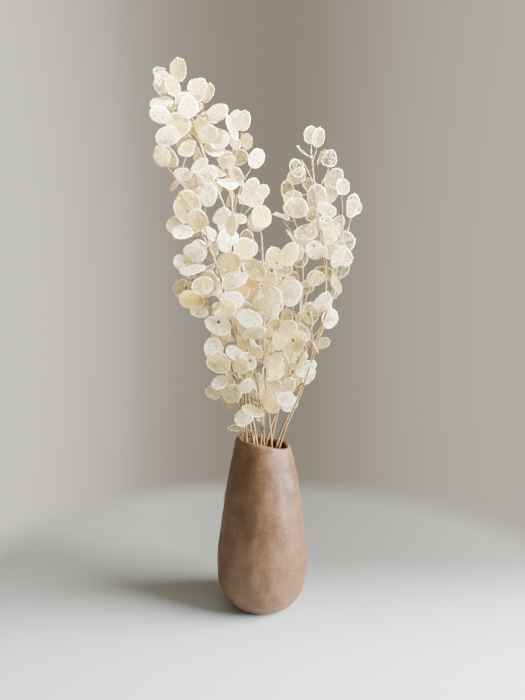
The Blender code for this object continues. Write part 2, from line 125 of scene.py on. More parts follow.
# A stem passes the mouth on a ring at a bearing in degrees, then runs through its own points. Its end
# carries some pods, and so does each twig: (height on the stem, middle of its end pod, number of pods).
Stem = namedtuple("Stem", "name ring bearing via end_pods twigs")
STEMS = (
    Stem("stem_left_tall", OUTER_RING, 210,
         ((-29, -8, 507), (-49, -5, 566), (-82, 0, 646), (-108, 0, 723), (-137, 0, 760)), 10,
         ((690, (-84, -15, 743), 7), (668, (-147, -25, 706), 4), (625, (-111, -45, 687), 4),
          (645, (-69, 22, 727), 6), (715, (-169, 10, 750), 3), (735, (-121, -12, 778), 5))),
    Stem("stem_left_back", OUTER_RING, 165,
         ((-41, 25, 446), (-46, 35, 540), (-47, 35, 618), (-44, 22, 698)), 8,
         ((560, (-16, 15, 653), 4), (520, (6, 45, 617), 4), (600, (-82, 8, 677), 4),
          (500, (-22, -20, 601), 1), (580, (-55, 60, 672), 3), (640, (-27, -6, 712), 4))),
    Stem("stem_left_front", OUTER_RING, 255,
         ((-31, -45, 360), (-50, -52, 443), (-70, -55, 512), (-91, -52, 575), (-128, -42, 624)), 7,
         ((500, (-110, -70, 556), 5), (480, (-128, -35, 549), 4), (570, (-93, -25, 634), 4),
          (440, (-75, -85, 519), 5), (422, (-43, -82, 535), 4), (590, (-103, -30, 661), 2),
          (522, (-68, -75, 574), 4))),
    Stem("stem_left_low", INNER_RING, 190,
         ((-30, -1, 299), (-55, -8, 372), (-85, -15, 445), (-104, -15, 480)), 6,
         ((385, (-122, 15, 458), 4), (310, (-66, 5, 386), 4), (262, (-71, -15, 305), 4),
          (288, (-68, -42, 362), 4), (244, (-40, -42, 259), 1), (403, (-76, -45, 469), 4),
          (425, (-100, 10, 512), 4))),
    Stem("stem_front", OUTER_RING, 300,
         ((5, -45, 318), (2, -55, 402), (1, -55, 478), (-1, -45, 533)), 6,
         ((408, (32, -55, 496), 4), (370, (-38, -85, 471), 4), (428, (-24, -70, 507), 4),
          (350, (37, -65, 443), 4), (332, (10, -90, 442), 4))),
    Stem("stem_front_low", INNER_RING, 280,
         ((-3, -31, 295), (-14, -47, 360), (-27, -52, 430)), 6,
         ((274, (-55, -70, 355), 4), (294, (-6, -98, 374), 4), (258, (-17, -80, 320), 4),
          (242, (15, -78, 325), 4), (330, (-49, -75, 429), 4))),
    Stem("stem_back", OUTER_RING, 120,
         ((-16, 44, 305), (-20, 55, 416), (-26, 50, 517)), 7,
         ((350, (18, 62, 461), 4), (320, (-70, 45, 428), 4), (300, (-1, 85, 391), 4),
          (270, (-49, 60, 339), 3), (400, (-59, 70, 497), 3))),
    Stem("stem_back_low", INNER_RING, 100,
         ((7, 44, 304), (24, 76, 383), (36, 88, 449)), 5,
         ((290, (13, 105, 374), 4), (255, (-17, 70, 299), 3), (270, (60, 62, 348), 4),
          (330, (66, 60, 432), 3))),
    Stem("stem_right_tall", OUTER_RING, 30,
         ((50, 17, 294), (68, 20, 340), (86, 20, 401), (96, 12, 476), (89, 6, 521), (80, 2, 594),
          (72, 0, 668)), 6,
         ((605, (47, 6, 676), 1), (567, (109, 18, 656), 3), (545, (52, -4, 634), 4),
          (475, (76, -22, 577), 5), (625, (87, -12, 679), 3), (498, (77, 35, 579), 4))),
    Stem("stem_right_front", OUTER_RING, 345,
         ((57, -19, 315), (84, -30, 402), (100, -34, 465), (113, -34, 529), (114, -28, 587)), 6,
         ((430, (116, -15, 506), 4), (390, (94, -48, 458), 4), (340, (63, -55, 421), 4),
          (500, (133, 0, 582), 3), (470, (90, -60, 544), 4))),
    Stem("stem_right_back", OUTER_RING, 75,
         ((29, 38, 291), (52, 52, 384), (63, 52, 463), (59, 45, 542), (41, 35, 594)), 6,
         ((430, (51, 18, 513), 4), (390, (77, 75, 481), 3), (408, (32, 50, 508), 4),
          (500, (21, 40, 585), 2))),
    Stem("stem_right_low", INNER_RING, 10,
         ((29, 0, 297), (52, -8, 354), (75, -10, 389)), 5,
         ((268, (74, 2, 327), 3), (283, (41, -52, 374), 4), (250, (33, -32, 313), 4),
          (298, (30, -50, 405), 4), (314, (102, 10, 419), 4))),
)


def smoothstep(low, high, value):
    share = min(max((value - low) / (high - low), 0.0), 1.0)
    return share * share * (3 - 2 * share)


def hand_formed(x, y, z):
    """Where a point of the turned vase ends up: gentle dents in the wall and a slanting, wavy rim."""
    angle = math.atan2(y, x)
    wall = smoothstep(*FOOT_BLEND, z)
    swell = 1 + wall * sum(size * math.sin(waves * angle + phase + z / drift)
                           for size, waves, phase, drift in SWELLS)
    lean = LEAN * wall * math.cos(math.pi * z / RIM_HEIGHT)
    size, waves, phase = RIM_WAVE
    rise = -RIM_SLANT * math.cos(angle) + size * math.sin(waves * angle + phase)
    return Vector((x * swell + lean, y * swell, z + smoothstep(*RIM_BLEND, z) * rise))


def vase_profile():
    """From the middle of the inner floor up the inside, over the lip and down the outside to the foot."""
    inside = [(0, FLOOR), (FLOOR_EDGE, FLOOR)]
    inside += [(r - WALL - WALL_EXTRA, max(z, FLOOR + FLOOR_ROUNDING)) for r, z in VASE_OUTLINE[2:]]
    lip = [(RIM_RADIUS - WALL, RIM_HEIGHT - LIP_DROP), (RIM_RADIUS - WALL / 2, RIM_HEIGHT),
           (RIM_RADIUS, RIM_HEIGHT - LIP_DROP)]
    return inside + lip + list(reversed(VASE_OUTLINE)) + [(0, 0)]


def smooth_path(points, steps):
    """Points along a curve through the given points, whose bends allow for how far apart these are."""
    points = [Vector(p) for p in points]
    slopes = [(b - a).normalized() for a, b in zip(points, points[1:])]
    lengths = [(b - a).length for a, b in zip(points, points[1:])]
    inner = [(before * far + after * near).normalized()
             for before, after, near, far in zip(slopes, slopes[1:], lengths, lengths[1:])]
    slopes = [slopes[0]] + inner + [slopes[-1]]
    path = [points[0]]
    for a, b, slope_a, slope_b, length in zip(points, points[1:], slopes, slopes[1:], lengths):
        for step in range(1, steps + 1):
            t = step / steps
            bend = t * (1 - t) * length * ((1 - t) * slope_a - t * slope_b)
            path.append(a + t * t * (3 - 2 * t) * (b - a) + bend)
    return path


def place_on(path, share):
    """The point and direction at this share of a path's length."""
    lengths = [(b - a).length for a, b in zip(path, path[1:])]
    left = share * sum(lengths)
    for a, b, length in zip(path, path[1:], lengths):
        if left <= length or b is path[-1]:
            return a.lerp(b, left / length), (b - a).normalized()
        left -= length


def tube(path, radii):
    """Points and faces of a tube that encloses a rod, for testing what the rod would touch."""
    points = []
    for i, at in enumerate(path):
        along = (path[min(i + 1, len(path) - 1)] - path[max(i - 1, 0)]).normalized()
        side = along.orthogonal().normalized()
        other = along.cross(side)
        radius = (radii[0] + (radii[1] - radii[0]) * i / (len(path) - 1)) / math.cos(math.pi / TEST_SIDES)
        for j in range(TEST_SIDES):
            turn = math.tau * j / TEST_SIDES
            points.append(at + radius * (math.cos(turn) * side + math.sin(turn) * other))
    n = TEST_SIDES
    faces = [(i * n + j, i * n + (j + 1) % n, (i + 1) * n + (j + 1) % n, (i + 1) * n + j)
             for i in range(len(path) - 1) for j in range(n)]
    return points, faces


def pod_outline(length, width, stalk, grow=0.0):
    """The paddle of a pod from its stalk's root round its blunt tip, in its own plane."""
    half = STALK_WIDTH / 2 + grow
    edge = [(-STALK_SINK, half), (stalk - grow, half)]
    for angle in POD_CORNERS:
        turn = math.radians(angle)
        edge.append((stalk + length / 2 + (length / 2 + grow) * math.cos(turn),
                     (width / 2 + grow) * math.sin(turn)))
    return edge + [(u, -v) for u, v in reversed(edge)]


class Pod:
    """A pod's place: the root of its stalk, the way it points, the way it faces, and its sizes."""

    def __init__(self, root, along, face, length, width, stalk):
        self.root = root
        self.along = along.normalized()
        self.face = (face - face.dot(self.along) * self.along).normalized()
        self.length = length
        self.width = width
        self.stalk = stalk

    def across(self):
        return self.face.cross(self.along)

    def middle(self):
        return self.root + (self.stalk + self.length / 2) * self.along

    def corners(self, outline, thick):
        across = self.across()
        flat = [self.root + u * self.along + v * across for u, v in outline]
        return [p - self.face * thick / 2 for p in flat] + [p + self.face * thick / 2 for p in flat]

    def solid(self, grow=0.0, with_stalk=True):
        """Points and faces of the flat pod, swelled by some clearance when it is only tested."""
        outline = pod_outline(self.length, self.width, self.stalk, grow)
        if not with_stalk:
            outline = outline[1:-1]
        n = len(outline)
        sides = [((i + 1) % n, i, n + i, n + (i + 1) % n) for i in range(n)]
        caps = [tuple(range(n)), tuple(reversed(range(n, 2 * n)))]
        return self.corners(outline, POD_THICK + 2 * grow), sides + caps


def box_of(points):
    return [Vector(pick(p[i] for p in points) for i in range(3)) for pick in (min, max)]


class Space:
    """What is already in place, so that nothing new crosses it."""

    def __init__(self):
        self.taken = []

    def add(self, points, faces, owner):
        low, high = box_of(points)
        self.taken.append((low, high, BVHTree.FromPolygons(points, faces), owner))

    def is_free(self, points, faces, ignored=None):
        low, high = box_of(points)
        tree = None
        for other_low, other_high, other, owner in self.taken:
            if owner == ignored or any(low[i] > other_high[i] or high[i] < other_low[i] for i in range(3)):
                continue
            tree = tree or BVHTree.FromPolygons(points, faces)
            if tree.overlap(other):
                return False
        return True


def stem_path(ring, bearing, via):
    """From its foot straight across the vase, and from just below the mouth through its own points."""
    turn = math.radians(bearing)
    mouth = Vector((ring * math.cos(turn), ring * math.sin(turn), MOUTH_HEIGHT))
    foot = FOOT_SHARE * ring * Vector((math.cos(turn + FOOT_TURN), math.sin(turn + FOOT_TURN), 0))
    foot.z = FLOOR + FOOT_CLEAR
    return [foot] + smooth_path((foot.lerp(mouth, STRAIGHT_SHARE), mouth) + via, STEM_STEPS)


def twig_path(stem, height, end, rng, space, owner):
    """An arch from a stem to its end point, bent clear of what is in place, or none."""
    above = next(i for i, p in enumerate(stem) if p.z > height)
    a, b = stem[above - 1], stem[above]
    start = a.lerp(b, (height - a.z) / (b.z - a.z))
    for attempt in range(TWIG_TRIES):
        sway = Vector(rng.uniform(-1, 1) for _ in range(3)) * attempt
        pod = Vector(end) + POD_SWAY * sway
        middle = start + (b - a).normalized() * TWIG_ARCH * (pod - start).length + MIDDLE_SWAY * sway
        tip = pod + (middle - pod).normalized() * END_POD_REACH
        path = [start.lerp(middle, t).lerp(middle.lerp(tip, t), t) for t in TWIG_SHARES]
        body = [r + CLEARANCE for r in TWIG_RADII]
        if space.is_free(*tube(path[1:], body)) and space.is_free(*tube(path, body), ignored=owner):
            return path
    return None


def seen_from_front(point):
    """x and z of where the sight line to a point meets the vase's middle plane."""
    scale = VIEW_DISTANCE / (VIEW_DISTANCE + point.y)
    return point.x * scale, VIEW_HEIGHT + (point.z - VIEW_HEIGHT) * scale


def in_outline(point):
    """Whether a point lies in the bunch's outline as seen from the front."""
    x, z = seen_from_front(point)
    crossings = 0
    for (x0, z0), (x1, z1) in zip(BUNCH_OUTLINE, BUNCH_OUTLINE[1:] + BUNCH_OUTLINE[:1]):
        if (z0 > z) != (z1 > z) and x < x0 + (z - z0) / (z1 - z0) * (x1 - x0):
            crossings += 1
    return crossings % 2 == 1


def any_direction(rng):
    return Vector(rng.gauss(0, 1) for _ in range(3)).normalized()


def draw_pod(rng, root, axis, turn, opening, facings):
    """A pod that opens out of a twig's axis. Of some drawn facings, it takes the one most to the front."""
    side = axis.orthogonal().normalized()
    out = math.cos(turn) * side + math.sin(turn) * axis.cross(side)
    along = math.cos(opening) * axis + math.sin(opening) * out
    drawn = [any_direction(rng) for _ in range(facings)]
    square = [(face - face.dot(along) * along).normalized() for face in drawn]
    length = rng.uniform(*POD_LENGTH)
    width = length * rng.uniform(*POD_WIDTH_SHARE)
    face = max(square, key=lambda each: abs(each.y))
    return Pod(root, along, face, length, width, rng.uniform(*STALK_LENGTH))


def grow_pods(rng, path, bare_share, count, space, owner):
    """Pods down a twig from its end, each in the first of its draws that touches nothing."""
    grown = []
    for k in range(count):
        root, axis = place_on(path, 1 - k / count * (1 - bare_share))
        at_end = k == 0
        for attempt in range(POD_TRIES):
            spread = POD_TURN_SPREAD * (1 + attempt * SPREAD_GROWTH)
            turn = k * POD_TURN + rng.uniform(-spread, spread)
            opening = math.radians(rng.uniform(*(END_POD_OPENING if at_end else POD_OPENING)))
            pod = draw_pod(rng, root, axis, turn, opening, END_POD_FACINGS if at_end else POD_FACINGS)
            blade = pod.solid(CLEARANCE, with_stalk=False)
            if (all(in_outline(corner) for corner in blade[0]) and space.is_free(*blade)
                    and space.is_free(*pod.solid(CLEARANCE), ignored=owner)):
                space.add(*pod.solid(), owner="pod")
                grown.append(pod)
                break
    return grown


def mouth_collar():
    """A ring round the vase's neck, which keeps twigs and pods off the rim."""
    n = 2 * TEST_SIDES
    turns = [math.tau * i / n for i in range(n)]
    points = [Vector((COLLAR_RADIUS * math.cos(t), COLLAR_RADIUS * math.sin(t), z))
              for z in COLLAR_HEIGHTS for t in turns]
    return points, [(i, (i + 1) % n, n + (i + 1) % n, n + i) for i in range(n)]


def lay_out():
    """Every stem's path, twig paths and pods. All stems are laid first, then all twigs, then the pods."""
    rng = random.Random(SEED)
    space = Space()
    space.add(*mouth_collar(), owner="vase")
    paths = {stem.name: stem_path(stem.ring, stem.bearing, stem.via) for stem in STEMS}
    for name, path in paths.items():
        space.add(*tube(path, STEM_RADII), owner=name)
    twigs = {stem.name: [] for stem in STEMS}
    for stem in STEMS:
        for height, end, count in stem.twigs:
            path = twig_path(paths[stem.name], height, end, rng, space, stem.name)
            if path:
                twigs[stem.name].append((path, count))
                space.add(*tube(path, TWIG_RADII), owner=(stem.name, len(twigs[stem.name])))
    pods = {}
    for stem in STEMS:
        pods[stem.name] = grow_pods(rng, paths[stem.name], STEM_BARE_SHARE, stem.end_pods, space, stem.name)
        for i, (path, count) in enumerate(twigs[stem.name], start=1):
            pods[stem.name] += grow_pods(rng, path, TWIG_BARE_SHARE, count, space, (stem.name, i))
    return paths, twigs, pods


# Finer vase: its facets, and a hand's shallow dents in the clay
VASE_TURNS = 96
VASE_RING_STEPS = 5
LIP_STEPS = 3
AXIS_RADIUS = 0.01
SHARP_ANGLE = math.radians(50)
DENT_DEPTH = 2.3
DENT_SIZE = 24.0
DENT_TALLNESS = 0.6
DENT_CREST = 0.8
DENT_HEIGHTS = (2, 30)
WOBBLE_SHARE = 0.6
WOBBLE_FREQUENCY = 1.3

# Finer pods: bearings of the rim's points from the tip, and rings of a film as (share of the half sizes, lift)
RIM_TURNS = (0, 5, 18, 40, 64, 90, 116, 140, 162, 180)
RIM_RINGS = ((1.0, 0.0), (0.95, 0.42), (0.6, 0.16))
STYLE_REACH = 0.09
POD_FULLNESS = 0.86
POD_RIPPLE = 5.0
RIPPLE_FREQUENCY = 1.8
RIPPLE_SCALE = 1.5
RIPPLE_CENTRE = 0.25
END_NARROWING = 0.05
CUP_LEVEL = 0.3

# Finer stems, twigs and stalks
ROD_SIDES = 8
ROD_STEPS = 3
ROD_UNEVENNESS = 0.35
UNEVENNESS_SCALE = 160.0
TWIG_FINE_RADII = (1.05, 0.6)
STALK_RADII = (0.62, 0.42)
STALK_SHARES = (0, 0.25, 0.55, 0.8, 1)
STALK_SAG = 0.09
STALK_SEAT = 0.8
KNOT_SWELL = 1.35

# Where seeds still show through a pod, as seen from the front: x and z in the vase's middle plane
SEED_PLACES = ((81, 686), (68, 651), (-120, 499), (-100, 505), (-14, 495), (-118, 575), (-60, 391), (45, 371),
               (-108, 466))
MORE_SEEDS = 12
SEED_SIZE = (4.2, 6.0)
SEED_SHARES = (1.0, 0.78, 0.42)
SEED_ALONG = (0.42, 0.62)
SEED_ASIDE = 0.22
NOTCH_PLACE = 1.15
NOTCH_RADIUS = 0.5
NOTCH_DEPTH = 0.5
EDGE_ON = 0.5
EDGE_ON_COST = 40
DEPTH_COST = 0.2

# How the pods differ: clear is how see-through the film is, and tint runs from bleached to golden. The ranges
# of x and z, as seen from the front, lead onto the right arm, and that of y to the back.
LOOKS_SEED = 5
RIGHT_ARM = ((20, 70), (380, 480))
BEHIND = (0, 60)
CLEAR_LEAST = 0.4
CLEAR_SPREAD = 0.42
CLEAR_RIGHT = 0.4
CLEAR_BEHIND = 0.15
CLEAR_MOST = 0.93
TINT_SPREAD = 0.8
TINT_RIGHT = -0.1
# Painted glow: pods at the back lean golden, in place of light passing through the bunch's layers
GLOW_TINT_BEHIND = 0.2
GOLDEN_SHARE = 0.22
GOLDEN_TINT = 0.25
# White pods are bleached and also painted light, more often at the front and on the left arm; fewer behind, as
# painted shade
WHITE_AND_LIT_SHARE = 0.38
WHITE_RIGHT = -0.2
WHITE_SHADED_BEHIND = -0.25
WHITE_CLEAR = 0.6
WHITE_TINT = 0.2
SKEWS = (-0.12, 0.12)
CUPS = (0.05, 0.26)
BOWS = (-0.07, 0.07)

# Colours: (place on the ramp, colour), or one colour
FILM_TONES = ((0.0, (0.98, 0.97, 0.84)), (0.3, (0.88, 0.80, 0.42)), (0.6, (0.80, 0.65, 0.17)),
              (1.0, (0.60, 0.41, 0.06)))
# Painted shade: the colour that the film's fold pattern darkens toward, in place of the shade of its crinkles
FILM_FOLD_SHADE = (0.46, 0.36, 0.17)
FILM_PRINT = (0.52, 0.40, 0.22)
FILM_RIM = (0.97, 0.90, 0.68)
FILM_GLOW = (1.0, 0.80, 0.30, 1)
FILM_VEIL = (0.97, 0.94, 0.86, 1)
STRAW_TONES = ((0.3, (0.10, 0.053, 0.016)), (0.5, (0.25, 0.155, 0.058)), (0.68, (0.45, 0.31, 0.14)))
STRAW_KNOT = (0.25, 0.12, 0.04)
SEED_TONES = ((0.35, (0.045, 0.022, 0.012)), (0.65, (0.12, 0.065, 0.035)))
CLAY_TONES = ((0.32, (0.088, 0.037, 0.014)), (0.5, (0.132, 0.062, 0.025)), (0.68, (0.19, 0.098, 0.043)))
CLAY_GRIT = (0.28, 0.165, 0.09)
CLAY_PIT = (0.05, 0.025, 0.012)
# Painted light: the colour the rim band pales toward, for light caught by the lip
CLAY_LIT_LIP = (0.3, 0.2, 0.14)
TABLE_TONES = ((0.82, 0.92, 0.98), (0.86, 0.95, 1.0))
# Far floor colours: painted shade, darker than the front, and painted lighter at the left where the bunch
# casts its shadow
TABLE_FAR_SHADE_TONES = ((0.40, 0.40, 0.385), (0.19, 0.192, 0.185))
# Backdrop tones across the view: painted light of a window on the room's walls, brightest at the left
BACKDROP_WALL_LIGHT_TONES = ((0.0, (0.56, 0.53, 0.48)), (0.2, (0.19, 0.164, 0.132)), (0.5, (0.147, 0.123, 0.094)),
                  (0.7, (0.158, 0.133, 0.103)), (1.0, (0.33, 0.302, 0.262)))
FILL = (0.17, 0.155, 0.13)

# A pod's film, in shares of its half sizes: bands of the distance from its middle, noise scales, what each
# feature adds to the bump, and how much light passes
RIM_BAND = (0.86, 0.97)
CALM_BAND = (0.72, 0.96)
CALM_SHARE = 0.85
FOLD_HUB = 0.15
FOLD_SCALE = 2.6
MOTTLE_SCALE = 2.4
CREASE_SCALE = 2.8
SEED_PRINTS = ((0.42, 0.36), (-0.05, -0.42), (-0.45, 0.3))
PRINT_STRETCH = (3, 5)
PRINT_BAND = (0.62, 0.4)
MOTTLE_HEIGHT = 0.5
CREASE_HEIGHT = -1.2
PRINT_HEIGHT = -0.15
GLOW_SHARE = 0.36
RIM_GLOW = -0.15
RIM_COVER = 0.8

# Straw, seeds and clay: noise scales to the metre, straw's fibres round and along it, and the heights between
# which the vase's rim is painted paler, as painted light caught by the lip
STRAW_PATCHES = 38.0
STRAW_ROUND = 1.2
STRAW_ALONG = 14
SEED_GRAIN = 900.0
GRIT_SCALE = 420.0
CLOUD_SCALE = 22.0
STROKE_SCALES = (22.0, 22.0, 60.0)
PALE_RIM = ((RIM_HEIGHT - 14) * MM, (RIM_HEIGHT + 2) * MM)
LIT_LIP_SHARE = 0.12

# Bumps: depth in metres and strength
FILM_BUMP = (0.0030, 1.0)
STRAW_BUMP = (0.0004, 0.5)
SEED_BUMP = (0.0002, 0.4)
CLAY_BUMP = (0.0013, 0.8)

# Stage: metres, watts and degrees
TABLE_RADIUS = 0.62
TABLE_FADE = 0.44
TABLE_SIDES = 96
TABLE_CLOUDS = 3.0
# Painted shade: the floor darkens toward the back over this range of y
TABLE_SHADE_RANGE = (-0.2, 0.15)
# Painted light: the far floor lightens toward the left over this range of x
TABLE_LEFT_LIGHT_RANGE = (-0.3, 0.1)
ROOM_STRENGTH = 2.0
Lamp = namedtuple("Lamp", "name place target size power colour spread")
LAMPS = (Lamp("window", (1.55, -0.3, 0.75), (0, 0, 0.3), 1.3, 215, (1.0, 0.995, 0.965), 180),
         Lamp("upper window", (0.9, -0.95, 1.15), (0, 0, 0.72), 0.4, 12, (1.0, 1.0, 0.975), 25))
LENS = 26.4
SENSOR_WIDTH = 36.0
SHIFT_UP = -30 / 700
CLIP_RANGE = (0.05, 50)


class Value:
    """An output socket; arithmetic on it adds Math nodes to its tree."""

    def __init__(self, wiring, socket):
        self.wiring = wiring
        self.socket = socket

    def of(self, name):
        return Value(self.wiring, self.socket.node.outputs[name])

    def math(self, operation, *others):
        return self.wiring.maths(operation, self, *others)

    def __add__(self, other):
        return self.math("ADD", other)

    def __mul__(self, other):
        return self.math("MULTIPLY", other)

    def __sub__(self, other):
        return self.math("SUBTRACT", other)

    def __pow__(self, other):
        return self.math("POWER", other)

    def __rsub__(self, other):
        return self.wiring.maths("SUBTRACT", other, self)

    def __rtruediv__(self, other):
        return self.wiring.maths("DIVIDE", other, self)

    __radd__ = __add__
    __rmul__ = __mul__


class Wiring:
    """One node tree and the ways to add to it."""

    def __init__(self, tree):
        self.tree = tree

    def node(self, kind, settings=None, values=None, output=0):
        """A new node with its properties set and its inputs linked to Values or set to constants."""
        made = self.tree.nodes.new(kind)
        for name, setting in (settings or {}).items():
            setattr(made, name, setting)
        for name, value in (values or {}).items():
            if isinstance(value, Value):
                self.tree.links.new(value.socket, made.inputs[name])
            else:
                made.inputs[name].default_value = value
        return Value(self, made.outputs[output]) if made.outputs else made

    def maths(self, operation, *values):
        return self.node("ShaderNodeMath", {"operation": operation}, dict(enumerate(values)))

    def vector(self, x, y, z):
        return self.node("ShaderNodeCombineXYZ", values={"X": x, "Y": y, "Z": z})

    def parts(self, vector):
        split = self.node("ShaderNodeSeparateXYZ", values={0: vector})
        return split, split.of("Y"), split.of("Z")

    def scaled(self, vector, factors):
        return self.node("ShaderNodeVectorMath", {"operation": "MULTIPLY"}, {0: vector, 1: factors})

    def noise(self, vector, scale, detail=2.0, roughness=0.5, distortion=0.0):
        return self.node("ShaderNodeTexNoise", values={"Vector": vector, "Scale": scale, "Detail": detail,
                                                       "Roughness": roughness, "Distortion": distortion})

    def smooth(self, value, low, high, start=0.0, end=1.0):
        return self.node("ShaderNodeMapRange", {"interpolation_type": "SMOOTHSTEP"}, {
            "Value": value, "From Min": low, "From Max": high, "To Min": start, "To Max": end})

    def ramp(self, value, stops, interpolation="LINEAR"):
        made = self.node("ShaderNodeValToRGB", values={0: value})
        ramp = made.socket.node.color_ramp
        ramp.interpolation = interpolation
        for i, (place, colour) in enumerate(stops):
            stop = ramp.elements[i] if i < 2 else ramp.elements.new(place)
            stop.position, stop.color = place, (*colour, 1)
        return made

    def blend(self, share, a, b):
        """A colour between two colours, by a value."""
        a, b = (c if isinstance(c, Value) else (*c, 1) for c in (a, b))
        return self.node("ShaderNodeMix", {"data_type": "RGBA"}, {0: share, 6: a, 7: b}, output=2)

    def place(self):
        """Where a point is, in the piece's own metres."""
        return self.node("ShaderNodeTexCoord", output="Object")

    def surface(self, colour, roughness, extra=None):
        return self.node("ShaderNodeBsdfPrincipled", values={
            "Base Color": colour, "Roughness": roughness, **(extra or {})})

    def bump(self, height, distance, strength):
        return self.node("ShaderNodeBump", values={
            "Strength": strength, "Distance": distance, "Height": height})

    def mixed(self, share, a, b):
        """A surface between two surfaces."""
        return self.node("ShaderNodeMixShader", values={0: share, 1: a, 2: b})

    def named(self, name, kind):
        """An attribute that the mesh carries: read in a shader or in a geometry tree."""
        if self.tree.type == "SHADER":
            return self.node("ShaderNodeAttribute", {"attribute_name": name},
                             output="Vector" if kind == "FLOAT_VECTOR" else "Fac")
        return self.node("GeometryNodeInputNamedAttribute", {"data_type": kind}, {"Name": name})


def finish(name, build):
    """A material whose surface build makes."""
    made = bpy.data.materials.new(name)
    made.use_nodes = True
    made.node_tree.nodes.clear()
    wiring = Wiring(made.node_tree)
    wiring.node("ShaderNodeOutputMaterial", values={"Surface": build(wiring)})
    return made


def geometry_tree(name, inputs, build):
    """A geometry tree with a geometry input, named inputs and one geometry output."""
    tree = bpy.data.node_groups.new(name, "GeometryNodeTree")
    tree.interface.new_socket("Geometry", in_out="INPUT", socket_type="NodeSocketGeometry")
    for label, kind in inputs.items():
        tree.interface.new_socket(label, in_out="INPUT", socket_type="NodeSocket" + kind)
    tree.interface.new_socket("Geometry", in_out="OUTPUT", socket_type="NodeSocketGeometry")
    wiring = Wiring(tree)
    given = wiring.node("NodeGroupInput")
    wiring.node("NodeGroupOutput", values={0: build(wiring, given)})
    return tree


def copies_on_points(w, given, form):
    """A form on each point, turned and sized as the point says, as one real mesh."""
    copies = w.node("GeometryNodeInstanceOnPoints", values={
        "Points": given, "Instance": form, "Rotation": w.named("turned", "QUATERNION"),
        "Scale": w.named("half", "FLOAT_VECTOR")})
    return w.node("GeometryNodeRealizeInstances", values={0: copies})


def finished(w, given, mesh):
    """Smooth shading, and the material that the tree is given."""
    smooth = w.node("GeometryNodeSetShadeSmooth", values={"Geometry": mesh})
    return w.node("GeometryNodeSetMaterial", values={"Geometry": smooth, "Material": given.of("Finish")})


def put_in_scene(name, data):
    made = bpy.data.objects.new(name, data)
    bpy.context.scene.collection.objects.link(made)
    return made


def mesh_of(shape, name):
    """A mesh from a bmesh, which is freed."""
    mesh = bpy.data.meshes.new(name)
    shape.to_mesh(mesh)
    shape.free()
    return mesh


def grown(name, start, tree, values):
    """What a geometry tree makes of a starting mesh, as a plain object in its place."""
    maker = put_in_scene(name + "_start", start)
    modifier = maker.modifiers.new("grown", "NODES")
    modifier.node_group = tree
    for socket in tree.interface.items_tree:
        if socket.in_out == "INPUT" and socket.name in values:
            modifier[socket.identifier] = values[socket.name]
    maker.update_tag()
    bpy.context.view_layer.update()
    depsgraph = bpy.context.evaluated_depsgraph_get()
    mesh = bpy.data.meshes.new_from_object(maker.evaluated_get(depsgraph), preserve_all_data_layers=True,
                                           depsgraph=depsgraph)
    bpy.data.objects.remove(maker)
    mesh.name = name
    return put_in_scene(name, mesh)


def carry(mesh, name, kind, values):
    """Gives a mesh one value a point."""
    key = "vector" if kind == "FLOAT_VECTOR" else "value"
    layer = mesh.attributes.new(name, kind, "POINT")
    flat = list(values) if kind == "FLOAT" else [number for value in values for number in value]
    layer.data.foreach_set(key, flat)


# Materials


def membrane(w):
    """A bleached papery film, satin where lit and see-through in part.

    Its folds run out from the middle and calm down toward a firm, paler rim; their pattern also darkens the
    colour as painted shade of the crinkles. Creases, blotches and faint seed prints cross them. Each pod's own
    tint and clear also shift its noises, so that no two pods match.
    """
    u, v, side = w.parts(w.named("spot", "FLOAT_VECTOR"))
    tint = w.named("tint", "FLOAT")
    clear = w.named("clear", "FLOAT")
    rho = (u * u + v * v) ** 0.5
    rim = w.smooth(rho, *RIM_BAND)
    calm = 1 - w.smooth(rho, *CALM_BAND) * CALM_SHARE
    inward = 1.0 / (rho + FOLD_HUB)
    radial = w.vector(u * inward, v * inward, rho * 0.9 + tint * 91)
    folds = (w.noise(radial, FOLD_SCALE, 3.0, 0.6) - 0.5) * calm + 0.5
    drift = w.vector(u + tint * 37, v + clear * 53, side * 0.3)
    mottle = w.noise(drift, MOTTLE_SCALE)
    creases = (w.noise(drift, CREASE_SCALE, 2.0, 0.6) - 0.5).math("ABSOLUTE")

    along, across = PRINT_STRETCH
    prints = 0.0
    for pu, pv in SEED_PRINTS:
        distance = ((u - pu) * (u - pu) * along + (v - pv) * (v - pv) * across) ** 0.5
        prints = w.smooth(distance, *PRINT_BAND).math("MAXIMUM", prints)

    pale = w.ramp(tint, FILM_TONES)
    # Painted shade of the folds: their noise darkens the film's colour
    shaded = w.blend(w.smooth(folds, 0.44, 0.62, 0.0, 0.6), pale, FILM_FOLD_SHADE)
    printed = w.blend(prints * w.smooth(mottle, 0.4, 0.6) * 0.35, shaded, FILM_PRINT)
    rimmed = w.blend(rim * 0.6, printed, FILM_RIM)
    height = folds + mottle * MOTTLE_HEIGHT + creases * calm * CREASE_HEIGHT + prints * PRINT_HEIGHT
    bump = w.bump(height, *FILM_BUMP)
    skin = w.surface(rimmed, w.smooth(folds, 0.3, 0.7, 0.26, 0.42), {
        "Normal": bump, "Specular IOR Level": 0.8, "Sheen Weight": 0.2, "Sheen Roughness": 0.4})
    glow = w.node("ShaderNodeBsdfTranslucent", values={"Color": FILM_GLOW, "Normal": bump})
    papery = w.mixed(rim * RIM_GLOW + GLOW_SHARE, skin, glow)
    through = w.node("ShaderNodeBsdfTransparent", values={"Color": FILM_VEIL})
    share = clear * (1 - rim * RIM_COVER) * w.smooth(folds, 0.35, 0.65, 0.85, 1.08)
    return w.mixed(share, papery, through)


